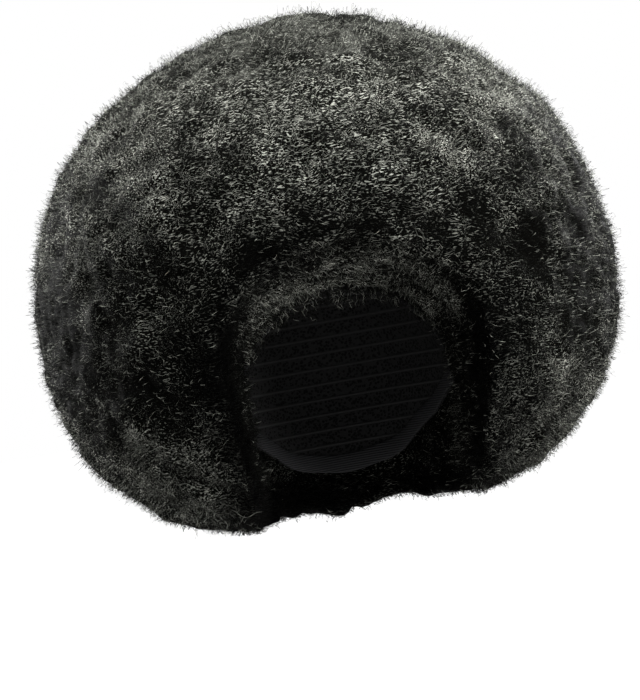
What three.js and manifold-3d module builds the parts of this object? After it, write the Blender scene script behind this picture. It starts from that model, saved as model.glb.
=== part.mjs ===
// Oversized afro wig, as it stands when worn: a stretch cap with an elastic band inside its rim, and round
// it a ball of frizzy hair in sewn rows. Millimetres, +Z up, the face opening towards -Y, +X to the
// wearer's left. The origin is the crown of the head, on which the wig hangs.
import * as THREE from 'three';
import { ConvexHull } from 'three/addons/math/ConvexHull.js';
import { mergeVertices } from 'three/addons/utils/BufferGeometryUtils.js';
import Module from 'manifold-3d';

const wasm = await Module();
wasm.setup();

// The head that the wig is worn on. A drop is a distance down from the crown of the head.
const headBreadth = 156;
const headLength = 196;
const skullDrop = 105; // to the widest level of the skull
const neckDrop = 215; // to the level where the neck is narrowest
const neckBreadth = 130;
const neckBack = 62; // from the head's axis back to the nape

// Cap and band
const bandWall = 1.6;
const bandHeight = 14;
const capWall = 2;
const gap = 0.3; // between one piece and the next
const foreheadDrop = 53;
const earDrop = 122;
const napeDrop = 176;

// Outer form of the hair
const hairWidth = 410;
const hairFront = 190; // from the head's axis to the foremost hair
const hairBack = 203;
const hairWidestDrop = 35;
const hairTop = 149; // above the crown of the head
const hairBottomDrop = 212;
const hairUpperCurve = 1.95; // exponent of the outline from the side: 2 is an ellipse, more is squarer
const hairLowerCurve = 2.7;

// Locks: tufts that stand side by side all over the ball of hair, fused to it and to each other
const lockSpacing = 40;
const lockRise = 9; // from the hollows where three locks meet up to their tips
const lockSeam = 0.6; // how deep the seam between two locks lies, as a share of the rise
const lockUneven = 4; // how much lower some tips stand

// Opening for the face
const cheekHalfWidth = 70; // at the bottom of the hair
const sideburnFront = 38; // from the head's axis forward to where the opening starts to widen
const openingFlare = 36; // how far it has widened at the foremost hair

// How far the opening has widened on its way forward from the sideburns (0) to the foremost hair (1) and
// beyond
const openingSections = [
  { way: 0, flare: 0 },
  { way: 0.35, flare: 0.1 },
  { way: 0.6, flare: 0.33 },
  { way: 0.8, flare: 0.61 },
  { way: 1, flare: 1 },
  { way: 1.2, flare: 1.5 },
];

// The sewn rows, from the nape up. Each ends above at a parting that rises outwards at this many degrees.
const hairRows = [
  { name: 'hair_row_nape', partingRise: -20 },
  { name: 'hair_row_ears', partingRise: 13 },
  { name: 'hair_row_brow', partingRise: 50 },
  { name: 'hair_crown', partingRise: null },
];

// The rim of the cap from the middle of the forehead (turn 0) to the middle of the nape (turn 180). Its
// drop is the forehead's, plus these shares of the way down to the ear and of the way from the ear down to
// the nape.
const rimSections = [
  { turn: 0, toEar: 0, toNape: 0 },
  { turn: 30, toEar: 0.07, toNape: 0 },
  { turn: 50, toEar: 0.36, toNape: 0 },
  { turn: 66, toEar: 0.76, toNape: 0 },
  { turn: 82, toEar: 1, toNape: 0 },
  { turn: 102, toEar: 1, toNape: 0.08 },
  { turn: 126, toEar: 1, toNape: 0.48 },
  { turn: 152, toEar: 1, toNape: 0.9 },
  { turn: 180, toEar: 1, toNape: 1 },
];

// Facets
const turnSteps = 40;
const capRows = 8;
const neckRows = 4;
const partingSteps = 24;

const { lerp, degToRad, radToDeg, clamp, smoothstep } = THREE.MathUtils;
const quarter = Math.PI / 2;
const goldenTurn = Math.PI * (3 - Math.sqrt(5));
const turns = Array.from({ length: turnSteps }, (_, i) => (i / turnSteps) * 2 * Math.PI);

// Repeatable random numbers from 0 to 1
function randomFrom(seed) {
  let state = seed;
  return () => {
    state = (state * 16807) % 2147483647;
    return state / 2147483647;
  };
}

function solidOf(geometry) {
  const bare = geometry.clone();
  bare.deleteAttribute('normal');
  bare.deleteAttribute('uv');
  const merged = mergeVertices(bare, 1e-4);
  return new wasm.Manifold(new wasm.Mesh({
    numProp: 3,
    vertProperties: new Float32Array(merged.attributes.position.array),
    triVerts: new Uint32Array(merged.index.array),
  }));
}

function geometryOf(solid) {
  const { vertProperties, triVerts } = solid.getMesh();
  const geometry = new THREE.BufferGeometry();
  geometry.setAttribute('position', new THREE.BufferAttribute(vertProperties, 3));
  geometry.setIndex(new THREE.BufferAttribute(triVerts, 1));
  geometry.computeVertexNormals();
  return geometry;
}

// Skins a ring of profiles, each with as many points. Each facet is split along its shorter diagonal, so
// that two walls that follow each other are split alike. Where all profiles meet in one point, as at a
// pole, the triangles of no size are left out.
function skin(profiles, closedProfile) {
  const points = profiles.flat();
  const across = profiles[0].length;
  const index = [];
  const addTriangle = (a, b, c) => {
    const edges = [[a, b], [b, c], [c, a]];
    const flat = edges.some(([from, to]) => points[from].distanceTo(points[to]) < 1e-6);
    if (!flat) index.push(a, b, c);
  };
  for (let ring = 0; ring < profiles.length; ring++) {
    const here = ring * across;
    const next = ((ring + 1) % profiles.length) * across;
    for (let i = 0; i < (closedProfile ? across : across - 1); i++) {
      const [a, b, c, d] = [here + i, here + (i + 1) % across, next + (i + 1) % across, next + i];
      if (points[a].distanceTo(points[c]) < points[b].distanceTo(points[d])) {
        addTriangle(a, b, c);
        addTriangle(a, c, d);
      } else {
        addTriangle(b, c, d);
        addTriangle(b, d, a);
      }
    }
  }
  const geometry = new THREE.BufferGeometry().setFromPoints(points);
  geometry.setIndex(index);
  return geometry;
}

// A closed solid swept once round the head's axis, through the profile at each turn
function sweep(profileAt, closedProfile = false) {
  return solidOf(skin(turns.map(profileAt), closedProfile));
}

// The drop of the cap's rim at a turn in radians, the same on both sides of the head
function rimDrop(turn) {
  const degrees = radToDeg(turn);
  const folded = Math.min(degrees, 360 - degrees);
  const after = Math.max(1, rimSections.findIndex((section) => section.turn >= folded));
  const [from, to] = [rimSections[after - 1], rimSections[after]];
  const share = smoothstep(folded, from.turn, to.turn);
  const toEar = lerp(from.toEar, to.toEar, share);
  const toNape = lerp(from.toNape, to.toNape, share);
  return foreheadDrop + toEar * (earDrop - foreheadDrop) + toNape * (napeDrop - earDrop);
}

// A point at this turn and drop, out from the head by the clearance. The skull is an ellipsoid down to its
// widest level, and narrows from there to the neck.
function headPoint(turn, drop, clearance) {
  const fromWidest = clamp(1 - drop / skullDrop, 0, 1);
  const swell = Math.sqrt(1 - fromWidest ** 2);
  const towardsNeck = smoothstep(drop, skullDrop, neckDrop);
  const side = lerp(headBreadth, neckBreadth, towardsNeck) / 2 + clearance;
  const back = lerp(headLength / 2, neckBack, towardsNeck) + clearance;
  const front = headLength / 2 + clearance;
  const x = side * swell * Math.sin(turn);
  const y = -(Math.cos(turn) > 0 ? front : back) * swell * Math.cos(turn);
  const z = drop < skullDrop ? (skullDrop + clearance) * fromWidest - skullDrop : -drop;
  return new THREE.Vector3(x, y, z);
}

// The drops of the cap's rows of facets at a turn, from the crown to the rim. The last row is the band's.
function capDrops(turn) {
  const bandTop = rimDrop(turn) - bandHeight;
  const bandAngle = bandTop < skullDrop
    ? Math.acos(1 - bandTop / skullDrop)
    : quarter + (bandTop - skullDrop) / skullDrop;
  const drops = Array.from({ length: capRows + 1 }, (_, i) => {
    const angle = (i / capRows) * bandAngle;
    return angle < quarter ? skullDrop * (1 - Math.cos(angle)) : skullDrop * (1 + angle - quarter);
  });
  return [...drops, rimDrop(turn)];
}

const capInside = bandWall + gap;
const capOutside = capInside + capWall;
const hairInside = capOutside + gap;

function makeCap() {
  return sweep((turn) => {
    const drops = capDrops(turn);
    const outer = drops.map((drop) => headPoint(turn, drop, capOutside));
    const inner = drops.map((drop) => headPoint(turn, drop, capInside)).reverse();
    return [...outer, ...inner];
  });
}

function makeBand() {
  return sweep((turn) => {
    const rim = rimDrop(turn);
    const top = rim - bandHeight;
    return [
      headPoint(turn, top, bandWall),
      headPoint(turn, rim, bandWall),
      headPoint(turn, rim, 0),
      headPoint(turn, top, 0),
    ];
  }, true);
}

// All that the hair goes round: the capped head, and the neck down past the bottom of the hair
function makeWearer() {
  const bottom = hairBottomDrop + lockSpacing;
  return sweep((turn) => {
    const rim = rimDrop(turn);
    const below = Array.from({ length: neckRows }, (_, i) => lerp(rim, bottom, (i + 1) / neckRows));
    const wall = [...capDrops(turn), ...below].map((drop) => headPoint(turn, drop, hairInside));
    return [...wall, new THREE.Vector3(0, 0, -bottom)];
  });
}

const hairCentre = new THREE.Vector3(0, 0, -hairWidestDrop);

// The point of the hair's outer form in a direction from its centre, less an inset
function hairPoint(direction, inset) {
  const halves = new THREE.Vector3(
    hairWidth / 2,
    direction.y < 0 ? hairFront : hairBack,
    direction.z > 0 ? hairTop + hairWidestDrop : hairBottomDrop - hairWidestDrop,
  ).subScalar(inset);
  const curve = direction.z > 0 ? hairUpperCurve : hairLowerCurve;
  const level = Math.hypot(direction.x / halves.x, direction.y / halves.y);
  const size = (level ** curve + Math.abs(direction.z / halves.z) ** curve) ** (-1 / curve);
  return direction.clone().multiplyScalar(size).add(hairCentre);
}

function directionAt(turn, rise) {
  return new THREE.Vector3(
    Math.cos(rise) * Math.sin(turn),
    -Math.cos(rise) * Math.cos(turn),
    Math.sin(rise),
  );
}

// The ball of hair, covered all over by locks. Their tips are spread evenly by the golden angle, and each
// lock takes up the ground that is nearer to its own tip than to any other.
function makeBall() {
  const random = randomFrom(7);
  const meanRadius = (hairWidth / 2 + (hairFront + hairBack) / 2 + (hairTop + hairBottomDrop) / 2) / 3;
  const groundOfEach = lockSpacing ** 2 * Math.sin(Math.PI / 3);
  const count = Math.round((4 * Math.PI * meanRadius ** 2) / groundOfEach);
  const tips = new Map();
  for (let i = 0; i < count; i++) {
    const direction = directionAt(i * goldenTurn, Math.asin(1 - (2 * (i + 0.5)) / count));
    tips.set(direction, hairPoint(direction, lockUneven * random()));
  }
  const points = [];
  for (const face of new ConvexHull().setFromPoints([...tips.keys()]).faces) {
    const corners = [0, 1, 2].map((i) => face.getEdge(i).head().point);
    const hollow = hairPoint(corners[0].clone().add(corners[1]).add(corners[2]).normalize(), lockRise);
    corners.forEach((corner, i) => {
      const next = corners[(i + 1) % 3];
      const seam = hairPoint(corner.clone().add(next).normalize(), lockRise * lockSeam);
      points.push(tips.get(corner), seam, hollow, tips.get(next), hollow, seam);
    });
  }
  return solidOf(new THREE.BufferGeometry().setFromPoints(points));
}

// The opening for the face. Its outline is the cap's rim seen from the front, and goes down past the bottom
// of the hair beside the cheeks. It widens forwards from the sideburns, as the mouth of a trumpet does.
function makeFaceOpening() {
  const bottom = -hairBottomDrop - lockSpacing;
  const rim = turns
    .filter((turn) => Math.cos(turn) > 0)
    .map((turn) => headPoint(turn, rimDrop(turn), hairInside))
    .filter((point) => Math.abs(point.x) < cheekHalfWidth)
    .sort((a, b) => a.x - b.x);
  const outline = [
    new THREE.Vector3(-cheekHalfWidth, 0, bottom),
    ...rim,
    new THREE.Vector3(cheekHalfWidth, 0, bottom),
  ];
  const sectionAt = (y, flare) => outline.map(({ x, z }) => {
    const away = new THREE.Vector3(x, 0, z + earDrop).setLength(flare);
    return new THREE.Vector3(x, y, z).add(away);
  });
  const widening = openingSections.map(({ way, flare }) => {
    return sectionAt(-lerp(sideburnFront, hairFront, way), flare * openingFlare);
  });
  const sections = [sectionAt(0, 0), ...widening];
  const closeAt = (section) => Array(section.length).fill(new THREE.Vector3(0, section[0].y, -earDrop));
  const rings = [closeAt(sections[0]), ...sections, closeAt(sections.at(-1))];
  return solidOf(skin(outline.map((_, i) => rings.map((ring) => ring[i])), false));
}

// A thin cone between two rows of hair, from inside the cap out past the locks
function makeParting(riseDegrees) {
  const rise = degToRad(riseDegrees);
  const along = new THREE.Vector2(Math.cos(rise), Math.sin(rise));
  const across = new THREE.Vector2(-along.y, along.x).multiplyScalar(gap / 2);
  const start = along.clone().multiplyScalar(headBreadth / 4);
  const end = along.clone().multiplyScalar(hairWidth);
  const profile = [
    start.clone().sub(across),
    end.clone().sub(across),
    end.clone().add(across),
    start.clone().add(across),
    start.clone().sub(across),
  ];
  const geometry = new THREE.LatheGeometry(profile, partingSteps).rotateX(quarter);
  return solidOf(geometry.translate(0, 0, -skullDrop));
}

// The hair as one mass, then cut at its partings into rows, sorted from the nape up
function makeHair() {
  const whole = makeBall().subtract(makeWearer()).subtract(makeFaceOpening());
  const rises = hairRows.map((row) => row.partingRise).filter((rise) => rise !== null);
  const rows = rises.reduce((rest, rise) => rest.subtract(makeParting(rise)), whole).decompose();
  return rows.sort((a, b) => a.boundingBox().max[2] - b.boundingBox().max[2]);
}

const hairMaterial = new THREE.MeshStandardMaterial({ color: 0x1a1b1a, roughness: 0.62, metalness: 0 });
const capMaterial = new THREE.MeshStandardMaterial({ color: 0x111112, roughness: 0.9, metalness: 0 });
const bandMaterial = new THREE.MeshStandardMaterial({ color: 0x17171a, roughness: 0.75, metalness: 0 });

const wig = new THREE.Group();

function addPiece(name, solid, material) {
  const mesh = new THREE.Mesh(geometryOf(solid), material);
  mesh.name = name;
  wig.add(mesh);
}

addPiece('cap', makeCap(), capMaterial);
addPiece('rim_band', makeBand(), bandMaterial);
makeHair().forEach((solid, i) => addPiece(hairRows[i].name, solid, hairMaterial));

export default wig;
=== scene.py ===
"""An oversized afro wig in its worn shape, held up over a pale studio floor.

All measures are metres, in the CAD model's frame.
"""

import math

import bmesh
import bpy
import numpy as np
from mathutils import Matrix, Vector
from mathutils.bvhtree import BVHTree
from mathutils.kdtree import KDTree


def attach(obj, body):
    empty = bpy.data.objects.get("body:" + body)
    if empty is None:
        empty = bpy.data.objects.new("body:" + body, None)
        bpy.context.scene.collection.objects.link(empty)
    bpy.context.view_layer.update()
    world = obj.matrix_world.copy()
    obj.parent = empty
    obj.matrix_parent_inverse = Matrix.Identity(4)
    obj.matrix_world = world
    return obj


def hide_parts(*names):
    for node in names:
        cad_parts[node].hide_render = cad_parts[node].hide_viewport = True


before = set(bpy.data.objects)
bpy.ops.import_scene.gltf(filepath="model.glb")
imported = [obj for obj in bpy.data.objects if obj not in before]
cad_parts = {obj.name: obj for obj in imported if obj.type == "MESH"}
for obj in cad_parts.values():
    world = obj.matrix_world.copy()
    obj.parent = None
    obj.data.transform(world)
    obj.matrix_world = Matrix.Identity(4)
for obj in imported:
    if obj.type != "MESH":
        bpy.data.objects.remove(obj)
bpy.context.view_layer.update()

HAIR_ROWS = ("hair_row_nape", "hair_row_ears", "hair_row_brow", "hair_crown")
MM = 0.001

# Camera, from the photograph: 0.69 mm a pixel at the middle of the hair. The wig leans 10 degrees to the left
# of the picture and is turned 4 degrees.
IMAGE_HEIGHT_PX = 700
MM_PER_PX = 0.69
WIG_LEAN = math.radians(10)
CAMERA_AZIMUTH = math.radians(-4)
CAMERA_DISTANCE = 2.0
SENSOR = 36.0
HAIR_CENTRE = Vector((0.001, 0.0, -0.035))
CENTRE_OFF_PX = (4, 75)  # the hair's centre, right of and above the picture's middle

# Stage
FLOOR_HEIGHT = -0.36
AMBIENT = 0.45  # light from all round, against a white background
FLOOR_GLOW = 0.75
LIGHTS_AIM = (0, 0, -0.03)
AREA_LIGHTS = (  # name, place, size, power, aim
    ("key", (0.7, -1.3, 1.6), 0.9, 36, LIGHTS_AIM),
    ("top", (0.2, 0.3, 1.8), 1.0, 38, LIGHTS_AIM),
    ("fill", (1.2, -1.5, -0.35), 0.8, 54, (0, 0, -0.08)),
    ("right", (1.4, 1.0, 0.5), 0.9, 75, LIGHTS_AIM),
    ("left", (-1.4, 1.0, 0.5), 0.9, 75, LIGHTS_AIM),
)

# Hair mass
BASE_VOXEL = 3.6 * MM
ROUNDING = 40  # passes of smoothing
BASE_INSET = 1.6 * MM  # the solid mass lies this far under the outline, which loose fibres fill
CLUMP_WAVES = ((42 * MM, 2.4 * MM), (20 * MM, 3.2 * MM), (8 * MM, 1.0 * MM))  # size and height of the relief
PUFF_WAVE = 1  # the wave that makes puffs with creases between them
PUFF_HEIGHT = 1.4
PUFF_SLOPE = 1.7
PUFF_SINK = 0.45
RELIEF_SHARE = 0.3  # share of each wave in the relief that the painted light follows: painted shade in the creases, painted light on the puffs
RELIEF_FROM = 4 * MM  # nearer to the cap than this there is no relief
RELIEF_OVER = 8 * MM  # and it grows to its full height over this distance
CAP_CLEARANCE = 0.6 * MM
AGAINST_CAP = 8 * MM  # hair nearer than this is moved clear of the cap
FAR_OUT = 300 * MM  # rays to the cap start this far from the middle of the head, outside all the hair
HEAD_MIDDLE = np.array([0.0, 0.0, -90.0]) * MM
INNER_DEPTH = 12 * MM  # what lies deeper than this in the ball is the inside of its openings
OPENING_DEPTHS = (12 * MM, 35 * MM)  # the painted shade grows weaker between these depths in the ball
RIM_DARK = (44 * MM, 66 * MM)  # reach of the painted shade round the openings, on the -X and the +X side
RIM_STRENGTH = 0.94  # how dark the painted shade at the openings' edges is
LESS_LEFT = 0.36  # by how much less on the +X side
LESS_DEEP = 0.5  # deep in an opening
LESS_FOREHEAD = 0.38  # and over the forehead
RIM_FUZZ = 25 * MM  # reach of the thicker fuzz along the edges of the openings
FUZZ_DEPTHS = (15 * MM, 30 * MM)  # and it ends between these depths in the ball
PATCH_SIZES = (30 * MM, 12 * MM)  # lighter and darker patches of hair
PAINTED_SHEEN = 0.26  # painted sheen, even, on the hair that faces up
PAINTED_SHEEN_PATCHES = 0.18  # and what the patches add to it
# Painted light on the hair mass: even, on faces turned up, on faces turned down, and less in the creases than
# on the puffs
LIGHT_EVEN = 0.46
LIGHT_UP = 0.42
LIGHT_TOP_LESS = 0.45  # the flat top takes this much less of the painted light from above
LIGHT_DOWN = 0.34
LIGHT_IN_CREASES = 0.72
LIGHT_ON_PUFFS = 0.56  # added to that in the creases

# Painted highlights: dashes of light on the hair mass, which are also its fine bump, as cycles a metre along X,
# Y and Z, and the noise from which they show
DASHES_ACROSS = (280.0, 1350.0, 1400.0)
DASHES_AROUND = (1350.0, 280.0, 1400.0)
DASHES_UPWARD = (1500.0, 1500.0, 380.0)
LEVEL_SHOWS = (0.575, 0.65)
UPWARD_SHOWS = (0.6, 0.72)
UPWARD_SHARE = 0.6

# Strands: ranges of length, radius, curl and wavelength in mm, the most that they stand off, the share that is
# painted as bright glints and the share that stands off at one end
STRAND_LAYERS = (
    dict(name="hair_fuzz_1", count=15000, steps=3, length=(5, 12), radius=(0.06, 0.1), lift=10.0,
         curl=(0.3, 1.1), wave=(7, 14), painted_glint=0.36, free_end=0.4),
    dict(name="hair_halo_1", count=32000, steps=2, length=(3, 8), radius=(0.07, 0.13), lift=9.0,
         curl=(0.2, 0.7), wave=(7, 14), painted_glint=0.45, free_end=0.4),
    dict(name="hair_haze_1", count=32000, steps=2, length=(2.5, 7), radius=(0.14, 0.23), lift=6.5,
         curl=(0.1, 0.5), wave=(6, 12), painted_glint=0.45, free_end=0.4),
    dict(name="hair_glints_1", count=32000, steps=2, length=(3, 7), radius=(0.12, 0.22), lift=4.6,
         curl=(0.05, 0.35), wave=(7, 12), painted_glint=0.45, free_end=0.2),
    dict(name="hair_long_strands_1", count=450, steps=10, length=(12, 26), radius=(0.08, 0.13), lift=5.0,
         curl=(0.8, 3.0), wave=(12, 24), painted_glint=1.0, free_end=0.2),
)
HAIRLINE = dict(name="hair_wisps", count=2600, steps=4, length=(5, 11), radius=(0.08, 0.14), lift=3.0,
                curl=(0.7, 1.7), wave=(4, 9), painted_glint=0.35, free_end=0.6)
HAIRLINE_HALF = math.radians(100)  # the wisps reach this far round from the middle of the forehead
# painted light on the wisps, which sets how many are painted as glints and how grey the rest are
HAIRLINE_LIGHT = 0.55
RIM_BAND_HEIGHT = 4 * MM  # the rim's distance from the axis is read this far up from its edge
SWIRL_BROAD = (45 * MM, 0.8)  # size, and turn in radians
SWIRL_SMALL = (14 * MM, 0.6)
SCATTER = 0.4
STRAND_SINK = 0.4 * MM  # a strand's ends go this far into the hair
STRAND_CLEARANCE = 0.3 * MM  # the least room left to the cap
CAP_NEARBY = 20 * MM  # strands rooted farther off can't reach the cap
RISE_SPREAD = (1.3, 2.2)  # how far strands stand off, as a beta distribution
GLINT_LOW = 0.55  # chance of a strand painted as a bright glint, for one that lies on the hair, before its layer's share
GLINT_RISE = 1.2  # and what standing off adds to it, as a painted halo of light
# tones of the strands painted as glints, and of the rest; the rest are painted lighter as they stand off, a
# painted halo
GLINT_TONES = (0.45, 1.0)
DULL_TONES = (0.0, 0.4)
HALO_PAINTED_RISE = 0.25

# Cap and band
WEFT_SPACING = 11 * MM
RIB_SPACING = 1.6 * MM


def camera():
    forward = Vector((-math.sin(CAMERA_AZIMUTH), math.cos(CAMERA_AZIMUTH), 0))
    level = Vector((math.cos(CAMERA_AZIMUTH), math.sin(CAMERA_AZIMUTH), 0))
    up = Vector((0, 0, 1))
    right = level * math.cos(WIG_LEAN) - up * math.sin(WIG_LEAN)
    top = level * math.sin(WIG_LEAN) + up * math.cos(WIG_LEAN)
    px = MM_PER_PX * MM
    aim = HAIR_CENTRE - right * CENTRE_OFF_PX[0] * px - top * CENTRE_OFF_PX[1] * px
    data = bpy.data.cameras.new("camera")
    data.sensor_width = SENSOR
    data.lens = SENSOR * CAMERA_DISTANCE / (IMAGE_HEIGHT_PX * px)
    data.clip_start, data.clip_end = 0.05, 60
    obj = bpy.data.objects.new("camera", data)
    bpy.context.scene.collection.objects.link(obj)
    place = aim - forward * CAMERA_DISTANCE
    obj.matrix_world = Matrix(
        (
            (right.x, top.x, -forward.x, place.x),
            (right.y, top.y, -forward.y, place.y),
            (right.z, top.z, -forward.z, place.z),
            (0, 0, 0, 1),
        )
    )
    bpy.context.scene.camera = obj


class Noise:
    """Smooth gradient noise over points in space, from about -1 to 1."""

    CORNERS = [(i, j, k) for i in (0, 1) for j in (0, 1) for k in (0, 1)]

    def __init__(self, seed):
        rng = np.random.default_rng(seed)
        self.order = np.tile(rng.permutation(256), 2)
        slopes = rng.normal(size=(256, 3))
        self.slopes = slopes / np.linalg.norm(slopes, axis=1, keepdims=True)

    def __call__(self, points, size):
        scaled = points / size
        cell = np.floor(scaled).astype(np.int64)
        part = scaled - cell
        cell &= 255
        ease = part**3 * (part * (part * 6 - 15) + 10)
        total = np.zeros(len(points))
        for corner in self.CORNERS:
            i, j, k = (cell + corner).T
            slope = self.slopes[self.order[self.order[self.order[i] + j] + k]]
            weight = np.prod(np.where(corner, ease, 1 - ease), axis=1)
            total += weight * np.einsum("ij,ij->i", slope, part - corner)
        return total * 1.6


def unit(vectors):
    return vectors / np.maximum(np.linalg.norm(vectors, axis=1, keepdims=True), 1e-12)


def smoothstep(values, low, high):
    t = np.clip((values - low) / (high - low), 0, 1)
    return t * t * (3 - 2 * t)


def coordinates(mesh):
    co = np.empty(len(mesh.vertices) * 3)
    mesh.vertices.foreach_get("co", co)
    return co.reshape(-1, 3)


def edge_ends(mesh):
    edges = np.empty(len(mesh.edges) * 2, dtype=np.int64)
    mesh.edges.foreach_get("vertices", edges)
    return edges.reshape(-1, 2).T


def vertex_normals(mesh):
    no = np.empty(len(mesh.vertices) * 3)
    mesh.vertex_normals.foreach_get("vector", no)
    return no.reshape(-1, 3)


def new_object(name, mesh, material):
    obj = bpy.data.objects.new(name, mesh)
    bpy.context.scene.collection.objects.link(obj)
    mesh.materials.clear()
    mesh.materials.append(material)
    mesh.shade_smooth()
    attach(obj, "root")
    return obj


def float_attribute(mesh, name, values):
    attribute = mesh.attributes.new(name, "FLOAT", "POINT")
    attribute.data.foreach_set("value", np.asarray(values, dtype=np.float32))


# Hair base: the CAD rows melted into one mass, with rounded edges and a relief of clumps


def melted_rows():
    """One mesh with the outer shape of the four rows of hair."""
    joined = bmesh.new()
    for row in HAIR_ROWS:
        joined.from_mesh(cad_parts[row].data)
    mesh = bpy.data.meshes.new("rows")
    joined.to_mesh(mesh)
    joined.free()
    rough = bpy.data.objects.new("rows", mesh)
    bpy.context.scene.collection.objects.link(rough)
    remesh = rough.modifiers.new("melt", "REMESH")
    remesh.mode = "VOXEL"
    remesh.voxel_size = BASE_VOXEL
    smooth = rough.modifiers.new("round", "SMOOTH")
    smooth.factor = 0.6
    smooth.iterations = ROUNDING
    depsgraph = bpy.context.evaluated_depsgraph_get()
    melted = bpy.data.meshes.new_from_object(rough.evaluated_get(depsgraph))
    bpy.data.objects.remove(rough)
    return largest_part(melted)


def largest_part(mesh):
    a, b = edge_ends(mesh)
    label = np.arange(len(mesh.vertices))
    while True:
        low = np.minimum(label[a], label[b])
        new = label.copy()
        np.minimum.at(new, a, low)
        np.minimum.at(new, b, low)
        new = new[new]
        if np.array_equal(new, label):
            break
        label = new
    biggest = np.bincount(label).argmax()
    work = bmesh.new()
    work.from_mesh(mesh)
    strays = [v for v, own in zip(work.verts, label) if own != biggest]
    bmesh.ops.delete(work, geom=strays, context="VERTS")
    work.to_mesh(mesh)
    work.free()
    return mesh


def cap_tree():
    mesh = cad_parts["cap"].data
    polygons = [tuple(p.vertices) for p in mesh.polygons]
    return BVHTree.FromPolygons([tuple(v) for v in coordinates(mesh)], polygons)


def cap_reach(tree, points):
    """How far the cap's outer face is from the middle of the head, towards each point, or 0 past its rim."""
    reach = np.zeros(len(points))
    for i, way in enumerate(unit(points - HEAD_MIDDLE)):
        distance = tree.ray_cast(Vector(HEAD_MIDDLE + way * FAR_OUT), Vector(-way), FAR_OUT)[3]
        if distance is not None:
            reach[i] = FAR_OUT - distance
    return reach


def near_openings(mesh, points):
    """How much painted shade the hair takes for lying in an opening of the ball or by it, and how near its
    edge, from 0 to 1.
    """
    wrap = bmesh.new()
    wrap.from_mesh(mesh)
    hull = bmesh.ops.convex_hull(wrap, input=wrap.verts)
    inside = [g for g in hull["geom_interior"] + hull["geom_unused"] if isinstance(g, bmesh.types.BMVert)]
    bmesh.ops.delete(wrap, geom=list(set(inside)), context="VERTS")
    tree = BVHTree.FromBMesh(wrap)
    wrap.free()
    depth = np.array([tree.find_nearest(Vector(p))[3] for p in points])
    deep = np.flatnonzero(depth > INNER_DEPTH)
    near_deep = KDTree(len(deep))
    for i in deep:
        near_deep.insert(Vector(points[i]), int(i))
    near_deep.balance()
    distance = np.array([near_deep.find(Vector(p))[2] for p in points])
    over_forehead = smoothstep(points[:, 2], -85 * MM, -40 * MM) * (points[:, 1] < 0)
    leftward = smoothstep(points[:, 0], -40 * MM, 40 * MM)
    strength = RIM_STRENGTH - LESS_LEFT * leftward - LESS_DEEP * smoothstep(depth, *OPENING_DEPTHS)
    strength -= LESS_FOREHEAD * over_forehead
    right, left = RIM_DARK
    reach = right + (left - right) * leftward
    painted_shade = (1 - smoothstep(distance / reach, 0, 1)) * np.maximum(strength, 0)
    edge = (1 - smoothstep(distance / RIM_FUZZ, 0, 1)) * (1 - smoothstep(depth, *FUZZ_DEPTHS))
    return painted_shade, edge


def patches(points):
    """Where the hair is lighter, from 0 to 1."""
    noise = Noise(23)
    broad, small = (noise(points, size) for size in PATCH_SIZES)
    return np.clip(0.5 + 0.45 * broad + 0.25 * small, 0, 1)


def hair_base(material):
    """The hair mass, with the values that its material and the strands on it read, painted light and shade
    among them.
    """
    mesh = melted_rows()
    points, normals = coordinates(mesh), vertex_normals(mesh)
    noise = Noise(3)
    tree = cap_tree()
    near = np.array([tree.find_nearest(Vector(p))[3] for p in points])
    free = np.clip((near - RELIEF_FROM) / RELIEF_OVER, 0, 1)
    height = np.zeros(len(points))
    relief = np.zeros(len(points))
    for i, (size, rise) in enumerate(CLUMP_WAVES):
        wave = noise(points + 0.37 * i, size)
        relief += RELIEF_SHARE * wave
        if i == PUFF_WAVE:
            wave = PUFF_HEIGHT * np.tanh(PUFF_SLOPE * np.abs(wave)) - PUFF_SINK
        height += rise * wave
    facing_away = np.einsum("ij,ij->i", normals, unit(points - HEAD_MIDDLE))
    loose = np.maximum(free, smoothstep(facing_away, 0.1, 0.6))
    mottled = patches(points)
    # painted sheen on the hair that faces up, more in the lighter patches
    painted_sheen = smoothstep(normals[:, 2], 0.3, 0.95) * (PAINTED_SHEEN + PAINTED_SHEEN_PATCHES * mottled)
    # painted light: lighter facing up and facing down, less on the flat top, times the patches, and painted
    # shade in the creases
    upward = smoothstep(normals[:, 2], -0.1, 0.7) - LIGHT_TOP_LESS * smoothstep(normals[:, 2], 0.6, 0.95)
    downward = smoothstep(-normals[:, 2], 0.1, 0.6)
    light = (LIGHT_EVEN + LIGHT_UP * upward + LIGHT_DOWN * downward) * (0.5 + mottled)
    light *= LIGHT_IN_CREASES + LIGHT_ON_PUFFS * np.clip(0.5 + relief, 0, 1)
    # painted shade in and round the openings
    painted_shade, edge = near_openings(mesh, points)
    side = normals[:, 0] ** 2 / np.maximum(normals[:, 0] ** 2 + normals[:, 1] ** 2, 1e-6)
    points = points + normals * ((height - BASE_INSET) * free)[:, None]
    # what lies against the cap stays just clear of it
    close = near < AGAINST_CAP
    way = unit(points[close] - HEAD_MIDDLE)
    out = np.linalg.norm(points[close] - HEAD_MIDDLE, axis=1)
    clear = np.maximum(out, cap_reach(tree, points[close]) + CAP_CLEARANCE)
    points[close] = HEAD_MIDDLE + way * clear[:, None]
    mesh.vertices.foreach_set("co", points.ravel())
    mesh.update()
    float_attribute(mesh, "gap", near)
    float_attribute(mesh, "loose", loose)
    float_attribute(mesh, "edge", edge)
    # painted shade round the openings, kept as shade
    float_attribute(mesh, "shade", (1 - painted_shade) ** 2)
    float_attribute(mesh, "side", side)
    float_attribute(mesh, "light", light)
    float_attribute(mesh, "painted_sheen", painted_sheen)
    obj = new_object("hair_mass", mesh, material)
    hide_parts(*HAIR_ROWS)
    return obj


# Cap and band: the CAD walls, rounded


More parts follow.
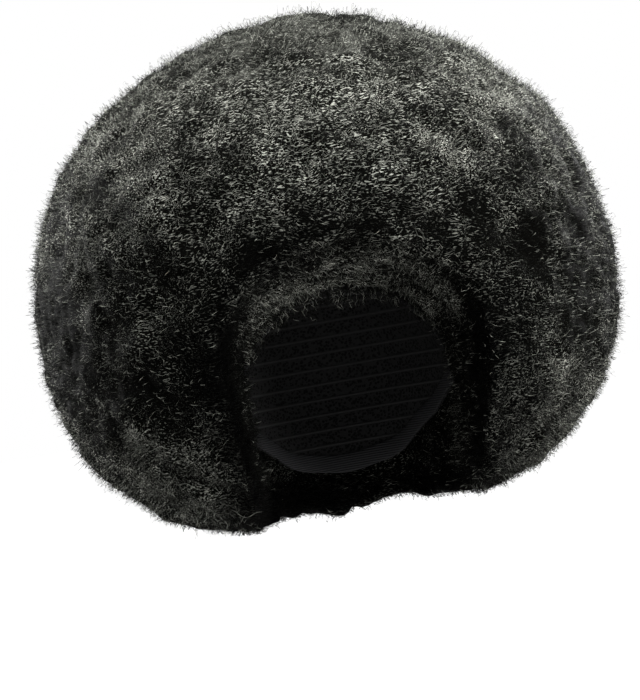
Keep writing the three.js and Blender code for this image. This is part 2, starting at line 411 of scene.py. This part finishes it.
def rounded_wall(node, name, material):
    """A finer copy of a node's faceted wall."""
    work = bmesh.new()
    work.from_mesh(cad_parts[node].data)
    bmesh.ops.remove_doubles(work, verts=work.verts, dist=0.01 * MM)
    bmesh.ops.join_triangles(
        work,
        faces=work.faces,
        angle_face_threshold=math.radians(35),
        angle_shape_threshold=math.radians(70),
    )
    mesh = bpy.data.meshes.new(name)
    work.to_mesh(mesh)
    work.free()
    coarse = bpy.data.objects.new(name, mesh)
    bpy.context.scene.collection.objects.link(coarse)
    subdivision = coarse.modifiers.new("round", "SUBSURF")
    subdivision.levels = subdivision.render_levels = 2
    depsgraph = bpy.context.evaluated_depsgraph_get()
    fine = bpy.data.meshes.new_from_object(coarse.evaluated_get(depsgraph))
    bpy.data.objects.remove(coarse)
    obj = new_object(name, fine, material)
    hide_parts(node)


# Strands: thin three-sided fibres, pointed at both ends


def sample_surface(mesh, count, weights, rng):
    """Random points on a mesh, with their normals and the index of a vertex near each."""
    mesh.calc_loop_triangles()
    corners = np.empty(len(mesh.loop_triangles) * 3, dtype=np.int64)
    mesh.loop_triangles.foreach_get("vertices", corners)
    corners = corners.reshape(-1, 3)
    points, normals = coordinates(mesh), vertex_normals(mesh)
    a, b, c = (points[corners[:, i]] for i in range(3))
    area = np.linalg.norm(np.cross(b - a, c - a), axis=1) / 2
    chance = area * weights[corners].mean(axis=1)
    chosen = rng.choice(len(corners), size=count, p=chance / chance.sum())
    r = rng.random((count, 2))
    root = np.sqrt(r[:, 0])
    shares = np.stack([1 - root, root * (1 - r[:, 1]), root * r[:, 1]], axis=1)
    place = np.einsum("ij,ijk->ik", shares, points[corners[chosen]])
    normal = unit(np.einsum("ij,ijk->ik", shares, normals[corners[chosen]]))
    return place, normal, corners[chosen][:, 0]


def flow_at(points, normals, rng, noise):
    """The way the hair lies: round the ball, swirled by noise, with some scatter."""
    level = np.cross(np.array([0.0, 0.0, 1.0]), normals)
    level = unit(level + 1e-3)
    across = np.cross(normals, level)
    turn = SWIRL_BROAD[1] * noise(points, SWIRL_BROAD[0]) + SWIRL_SMALL[1] * noise(points + 1.7, SWIRL_SMALL[0])
    turn = turn + rng.normal(0, SCATTER, len(points))
    return level * np.cos(turn)[:, None] + across * np.sin(turn)[:, None]


def strand_paths(roots, normals, along, length, lift, curl, wave, steps, rng, free_end):
    """Points along each strand, which lies on the hair as a curled arc or stands off at one end."""
    side = np.cross(normals, along)
    t = np.linspace(0, 1, steps + 1)[None, :]
    s = (t - 0.5) * length[:, None]
    phase = rng.uniform(0, 2 * np.pi, len(roots))[:, None]
    turn = 2 * np.pi * s / wave[:, None] + phase
    arch = np.where(free_end[:, None], t**1.5, np.sin(np.pi * t) ** 0.7)
    up = -STRAND_SINK + (lift[:, None] + STRAND_SINK) * arch + 0.6 * curl[:, None] * np.sin(turn)
    over = curl[:, None] * np.cos(turn)
    return (
        roots[:, None]
        + along[:, None] * s[..., None]
        + side[:, None] * over[..., None]
        + normals[:, None] * up[..., None]
    )


def strand_mesh(name, paths, radius, tone_and_glint):
    """Joins strands into one mesh. Each has its own small cell in the UV map, with its length along U."""
    count, rings, _ = paths.shape
    inner = rings - 2
    tangent = unit(np.gradient(paths, axis=1).reshape(-1, 3)).reshape(paths.shape)
    guide = np.array([0.31, 0.27, 0.91])
    one = np.cross(tangent, guide)
    one /= np.maximum(np.linalg.norm(one, axis=2, keepdims=True), 1e-9)
    two = np.cross(tangent, one)
    taper = np.sin(np.linspace(0, np.pi, rings))[1:-1] ** 0.5
    circle = np.arange(3) * 2 * np.pi / 3
    ring = (
        paths[:, 1:-1, None]
        + (one[:, 1:-1, None] * np.cos(circle)[:, None] + two[:, 1:-1, None] * np.sin(circle)[:, None])
        * (radius[:, None] * taper)[..., None, None]
    )
    each = 2 + inner * 3
    points = np.concatenate([paths[:, :1], ring.reshape(count, -1, 3), paths[:, -1:]], axis=1)
    last = each - 1
    faces3 = [(0, 1 + (j + 1) % 3, 1 + j) for j in range(3)]
    faces3 += [(last, last - 3 + j, last - 3 + (j + 1) % 3) for j in range(3)]
    faces4 = []
    for i in range(inner - 1):
        low = 1 + 3 * i
        faces4 += [(low + j, low + (j + 1) % 3, low + 3 + (j + 1) % 3, low + 3 + j) for j in range(3)]
    starts = (np.arange(count) * each)[:, None, None]
    tris = (np.array(faces3)[None] + starts).reshape(-1, 3)
    quads = (np.array(faces4, dtype=np.int64).reshape(1, -1, 4) + starts).reshape(-1, 4)
    loops = np.concatenate([tris.ravel(), quads.ravel()])
    sizes = np.concatenate([np.full(len(tris), 3), np.full(len(quads), 4)])
    mesh = bpy.data.meshes.new(name)
    mesh.vertices.add(count * each)
    mesh.vertices.foreach_set("co", points.reshape(-1))
    mesh.loops.add(len(loops))
    mesh.loops.foreach_set("vertex_index", loops.astype(np.int32))
    mesh.polygons.add(len(sizes))
    mesh.polygons.foreach_set("loop_start", (np.cumsum(sizes) - sizes).astype(np.int32))
    mesh.update(calc_edges=True)
    mesh.validate()
    float_attribute(mesh, "tone_and_glint", np.repeat(tone_and_glint, each))
    cells = math.ceil(math.sqrt(count))
    which = loops // each
    local = loops % each
    step = np.where(local == 0, 0, np.where(local == last, rings - 1, (local + 2) // 3))
    around = np.where((local == 0) | (local == last), 1, (local + 2) % 3)
    u = (which % cells + 0.1 + 0.8 * step / (rings - 1)) / cells
    v = (which // cells + 0.2 + 0.3 * around) / cells
    layer = mesh.uv_layers.new(name="OFBake")
    layer.data.foreach_set("uv", np.stack([u, v], axis=1).ravel().astype(np.float32))
    return mesh


# Materials


class Graph:
    """A short way to write a material's nodes."""

    def __init__(self, name):
        self.material = bpy.data.materials.new(name)
        self.material.use_nodes = True
        self.tree = self.material.node_tree
        self.tree.nodes.clear()
        self.out = self.node("ShaderNodeOutputMaterial")
        self.shader = self.node("ShaderNodeBsdfPrincipled")
        self.link(self.shader.outputs[0], self.out.inputs["Surface"])

    def node(self, kind, **settings):
        made = self.tree.nodes.new(kind)
        for key, value in settings.items():
            setattr(made, key, value)
        return made

    def link(self, source, target):
        self.tree.links.new(source, target)

    def put(self, socket, value):
        if isinstance(value, bpy.types.NodeSocket):
            self.link(value, socket)
        else:
            socket.default_value = value

    def maths(self, operation, *values):
        made = self.node("ShaderNodeMath", operation=operation)
        for socket, value in zip(made.inputs, values):
            self.put(socket, value)
        return made.outputs[0]

    def position(self):
        return self.node("ShaderNodeTexCoord").outputs["Object"]

    def attribute(self, name):
        return self.node("ShaderNodeAttribute", attribute_name=name).outputs["Fac"]

    def noise(self, vector, scale, detail=2.0, distortion=0.0):
        made = self.node("ShaderNodeTexNoise")
        self.put(made.inputs["Vector"], vector)
        self.put(made.inputs["Scale"], scale)
        self.put(made.inputs["Detail"], detail)
        self.put(made.inputs["Distortion"], distortion)
        return made.outputs["Fac"]

    def spread(self, value, low, high, to_low=0.0, to_high=1.0):
        made = self.node("ShaderNodeMapRange", interpolation_type="SMOOTHSTEP")
        for socket, number in zip(made.inputs, (value, low, high, to_low, to_high)):
            self.put(socket, number)
        return made.outputs[0]

    def ramp(self, value, *stops):
        made = self.node("ShaderNodeValToRGB")
        self.put(made.inputs["Fac"], value)
        elements = made.color_ramp.elements
        while len(elements) < len(stops):
            elements.new(0.5)
        for element, (place, colour) in zip(elements, stops):
            element.position = place
            element.color = (*colour, 1)
        return made.outputs["Color"]

    def warp(self, vector, scale, amount):
        """Swirls a vector by a broad noise."""
        made = self.node("ShaderNodeTexNoise")
        self.put(made.inputs["Vector"], vector)
        self.put(made.inputs["Scale"], scale)
        self.put(made.inputs["Detail"], 1.0)
        swirl = self.node("ShaderNodeVectorMath", operation="MULTIPLY_ADD")
        self.put(swirl.inputs[0], made.outputs["Color"])
        swirl.inputs[1].default_value = (amount,) * 3
        self.put(swirl.inputs[2], vector)
        return swirl.outputs[0]

    def dashes(self, vector, stretch, low, high, raised):
        """Short fine lines along the axis of least stretch, with more of them where raised is more."""
        scaled = self.node("ShaderNodeVectorMath", operation="MULTIPLY")
        self.put(scaled.inputs[0], vector)
        scaled.inputs[1].default_value = stretch
        return self.spread(self.maths("ADD", self.noise(scaled.outputs[0], 1.0, 1.0, 0.4), raised), low, high)

    def bump(self, height, strength, distance):
        made = self.node("ShaderNodeBump")
        made.inputs["Strength"].default_value = strength
        made.inputs["Distance"].default_value = distance
        self.link(height, made.inputs["Height"])
        self.link(made.outputs["Normal"], self.shader.inputs["Normal"])

    def constants(self, **values):
        for key, value in values.items():
            self.shader.inputs[key.replace("_", " ")].default_value = value


def base_material():
    """Near-black frizz with painted highlights as dashes, and painted light and shade, which read the values
    that hair_base keeps on the mesh.
    """
    g = Graph("hair_frizz")
    place = g.position()
    swirled = g.warp(g.warp(place, 22.0, 0.02), 70.0, 0.004)
    side, light = g.attribute("side"), g.attribute("light")
    # more painted highlight dashes where the painted light is stronger
    raised = g.spread(light, 0.0, 1.4, -0.03, 0.03)
    across = g.dashes(swirled, DASHES_ACROSS, *LEVEL_SHOWS, raised)
    across = g.maths("MULTIPLY", across, g.spread(side, 0.5, 0.95, 1.0, 0.1))
    around = g.dashes(swirled, DASHES_AROUND, *LEVEL_SHOWS, raised)
    around = g.maths("MULTIPLY", around, g.spread(side, 0.35, 0.85, 0.1, 1.0))
    upward = g.dashes(swirled, DASHES_UPWARD, *UPWARD_SHOWS, raised)
    lines = g.maths("MAXIMUM", g.maths("MAXIMUM", across, around), g.maths("MULTIPLY", upward, UPWARD_SHARE))
    # painted light on the dashes, and the painted sheen on faces turned up
    lit = g.maths("MAXIMUM", g.maths("MULTIPLY", lines, light), g.attribute("painted_sheen"))
    # the light grey at the top of the ramp is a painted highlight
    black, grey, painted_glint_grey = (0.0015, 0.0015, 0.0012), (0.007, 0.0073, 0.0058), (0.54, 0.55, 0.485)
    colour = g.ramp(lit, (0.0, black), (0.3, grey), (1.0, painted_glint_grey))
    # painted shade in and round the openings
    shaded = g.node("ShaderNodeVectorMath", operation="SCALE")
    g.link(colour, shaded.inputs[0])
    g.link(g.attribute("shade"), shaded.inputs["Scale"])
    g.link(shaded.outputs[0], g.shader.inputs["Base Color"])
    g.bump(lines, 0.6, 0.0008)
    g.constants(Roughness=0.7, Specular_IOR_Level=0.015)
    return g.material


def strand_material(name):
    """Black fibre, some of it painted light grey as a highlight."""
    g = Graph(name)
    place = g.position()
    tone_and_glint = g.attribute("tone_and_glint")
    patch = g.noise(place, 320.0, 2.0)
    value = g.maths("MULTIPLY", tone_and_glint, g.spread(patch, 0.25, 0.7, 0.6, 1.15))
    # the light grey at the top of the ramp is a painted highlight; the patches vary the tone at random
    black, grey, painted_glint_grey = (0.0015,) * 3, (0.008, 0.0083, 0.0067), (0.5, 0.515, 0.45)
    g.link(g.ramp(value, (0.0, black), (0.4, grey), (1.0, painted_glint_grey)), g.shader.inputs["Base Color"])
    g.constants(Roughness=0.5, Specular_IOR_Level=0.02)
    return g.material


def cap_material():
    """Knitted net with rows of sewn wefts."""
    g = Graph("cap_net")
    place = g.position()
    height = g.node("ShaderNodeSeparateXYZ")
    g.link(place, height.inputs[0])
    row = g.maths("PINGPONG", height.outputs["Z"], WEFT_SPACING / 2)
    weft = g.spread(row, 0.0, 0.18 * WEFT_SPACING, 1.0, 0.0)
    mesh = g.node("ShaderNodeTexVoronoi")
    g.link(place, mesh.inputs["Vector"])
    mesh.inputs["Scale"].default_value = 480.0
    thread = g.spread(mesh.outputs["Distance"], 0.3, 0.55)
    raised = g.maths("MAXIMUM", weft, g.maths("MULTIPLY", thread, 0.5))
    g.link(g.ramp(raised, (0.0, (0.005,) * 3), (1.0, (0.045,) * 3)), g.shader.inputs["Base Color"])
    g.bump(raised, 0.9, 0.0012)
    g.constants(Roughness=0.8, Specular_IOR_Level=0.2)
    return g.material


def band_material():
    """Ribbed elastic."""
    g = Graph("elastic")
    place = g.position()
    height = g.node("ShaderNodeSeparateXYZ")
    g.link(place, height.inputs[0])
    rib = g.spread(g.maths("PINGPONG", height.outputs["Z"], RIB_SPACING / 2), 0.0, RIB_SPACING / 2)
    grain = g.noise(place, 900.0, 2.0)
    raised = g.maths("MULTIPLY_ADD", grain, 0.35, g.maths("MULTIPLY", rib, 0.65))
    g.link(g.ramp(raised, (0.1, (0.012,) * 3), (0.9, (0.06, 0.06, 0.064))), g.shader.inputs["Base Color"])
    g.bump(raised, 0.8, 0.0006)
    g.constants(Roughness=0.6, Specular_IOR_Level=0.25)
    return g.material


def plain_material(name, colour, roughness, grain):
    g = Graph(name)
    patch = g.noise(g.position(), grain, 3.0)
    low = tuple(0.75 * c for c in colour)
    g.link(g.ramp(patch, (0.3, low), (0.7, colour)), g.shader.inputs["Base Color"])
    g.constants(Roughness=roughness)
    return g.material


# Strand layers


def vertex_values(mesh, name):
    values = np.empty(len(mesh.vertices), dtype=np.float32)
    mesh.attributes[name].data.foreach_get("value", values)
    return values


def clear_of_cap(tree, paths, gap):
    """Which strands stay outside the cap and its wall."""
    clear = np.ones(len(paths), dtype=bool)
    close = np.flatnonzero(gap < CAP_NEARBY)
    points = paths[close].reshape(-1, 3)
    out = np.linalg.norm(points - HEAD_MIDDLE, axis=1) - cap_reach(tree, points)
    clear[close] = out.reshape(len(close), -1).min(axis=1) > STRAND_CLEARANCE
    return clear


def add_strands(base, material, layer, seed):
    """A layer of strands all over the hair."""
    mesh = base.data
    weights = vertex_values(mesh, "loose") * (1 + vertex_values(mesh, "edge"))
    # painted light and shade at each root, which set the strands' painted glints
    light = vertex_values(mesh, "light") * vertex_values(mesh, "shade")
    gap = vertex_values(mesh, "gap")
    flow = Noise(11)
    rng = np.random.default_rng(seed)
    count = int(layer["count"] * (1))
    roots, normals, near = sample_surface(mesh, count, weights, rng)
    along = flow_at(roots, normals, rng, flow)
    place_strands(material, layer, roots, normals, along, light[near], gap[near], rng)


def cap_rim(angles):
    """The rim's distance from the upright axis and its height, at angles from the middle of the forehead."""
    points = coordinates(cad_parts["cap"].data)
    out = np.hypot(points[:, 0], points[:, 1])
    around = np.arctan2(points[:, 0], -points[:, 1])
    width = math.radians(6)
    radius, height = np.empty(len(angles)), np.empty(len(angles))
    for i, angle in enumerate(angles):
        here = np.abs(around - angle) < width
        height[i] = points[here, 2].min()
        radius[i] = out[here & (points[:, 2] < height[i] + RIM_BAND_HEIGHT)].max()
    return radius, height


def add_hairline(material, layer, seed):
    """Short curls that hang over the cap's rim along the forehead."""
    rng = np.random.default_rng(seed)
    count = layer["count"]
    angles = np.linspace(-HAIRLINE_HALF, HAIRLINE_HALF, 60)
    radius, height = cap_rim(angles)
    angle = rng.uniform(-HAIRLINE_HALF, HAIRLINE_HALF, count)
    outward = np.stack([np.sin(angle), -np.cos(angle), np.zeros(count)], axis=1)
    out = np.interp(angle, angles, radius) + rng.uniform(0.8, 4.5, count) * MM
    level = np.interp(angle, angles, height) + rng.normal(1.0, 3.5, count) * MM
    roots = outward * out[:, None] + np.array([0, 0, 1]) * level[:, None]
    down = rng.normal((0, 0, -1), (0.6, 0.2, 0.3), (count, 3))
    along = unit(down - outward * np.einsum("ij,ij->i", down, outward)[:, None])
    light, gap = np.full(count, HAIRLINE_LIGHT), np.zeros(count)
    place_strands(material, layer, roots, outward, along, light, gap, rng)


def place_strands(material, layer, roots, normals, along, light, gap, rng):
    """Makes the strands of a layer, given the painted light on the hair and how far off the cap is at each
    root.
    """
    count = len(roots)
    length, radius, curl, wave = (
        rng.uniform(*layer[kind], count) * MM for kind in ("length", "radius", "curl", "wave")
    )
    rise = rng.beta(*RISE_SPREAD, count)
    lift = layer["lift"] * rise * MM
    free_end = rng.random(count) < layer["free_end"]
    paths = strand_paths(roots, normals, along, length, lift, curl, wave, layer["steps"], rng, free_end)
    # painted highlights: some strands are painted as bright glints, more where the painted light is and where
    # they stand off
    painted_glint = rng.random(count) < layer["painted_glint"] * light * (GLINT_LOW + GLINT_RISE * rise)
    # painted light on the other strands, and a painted halo grey as they stand off
    dull = rng.uniform(*DULL_TONES, count) * np.minimum(light, 1) + HALO_PAINTED_RISE * rise
    tone_and_glint = np.where(painted_glint, rng.uniform(*GLINT_TONES, count), dull)
    kept = clear_of_cap(cap_tree(), paths, gap)
    name = layer["name"]
    obj = new_object(name, strand_mesh(name, paths[kept], radius[kept], tone_and_glint[kept]), material)
    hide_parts(*HAIR_ROWS)


# Stage


def floor():
    bpy.ops.mesh.primitive_circle_add(vertices=128, radius=12, fill_type="NGON", location=(0, 0, FLOOR_HEIGHT))
    obj = bpy.context.object
    obj.name = "floor"
    paper = plain_material("floor_paper", (0.9, 0.9, 0.9), 0.9, 3.0)
    shader = paper.node_tree.nodes["Principled BSDF"]
    shader.inputs["Emission Color"].default_value = (1, 1, 1, 1)
    shader.inputs["Emission Strength"].default_value = FLOOR_GLOW
    obj.data.materials.append(paper)
    obj.visible_diffuse = False
    obj.visible_glossy = False


def area_light(name, place, size, power, target):
    data = bpy.data.lights.new(name, "AREA")
    data.shape = "DISK"
    data.size = size
    data.energy = power
    obj = bpy.data.objects.new(name, data)
    bpy.context.scene.collection.objects.link(obj)
    obj.location = place
    obj.rotation_euler = (Vector(target) - Vector(place)).to_track_quat("-Z", "Y").to_euler()


def lights():
    world = bpy.data.worlds.new("studio")
    bpy.context.scene.world = world
    world.use_nodes = True
    nodes, links = world.node_tree.nodes, world.node_tree.links
    background = nodes["Background"]
    background.inputs["Color"].default_value = (1, 1, 1, 1)
    seen = nodes.new("ShaderNodeLightPath").outputs["Is Camera Ray"]
    strength = nodes.new("ShaderNodeMapRange")
    strength.inputs["To Min"].default_value = AMBIENT
    links.new(seen, strength.inputs["Value"])
    links.new(strength.outputs[0], background.inputs["Strength"])
    for light in AREA_LIGHTS:
        area_light(*light)
    bpy.context.scene.view_settings.view_transform = "Standard"


camera()
lights()
floor()
base = hair_base(base_material())
fibre = strand_material("hair_strand")
for order, layer in enumerate(STRAND_LAYERS):
    add_strands(base, fibre, layer, 100 * (order + 1))
add_hairline(fibre, HAIRLINE, 900)

rounded_wall("cap", "cap_net", cap_material())
rounded_wall("rim_band", "band_elastic", band_material())
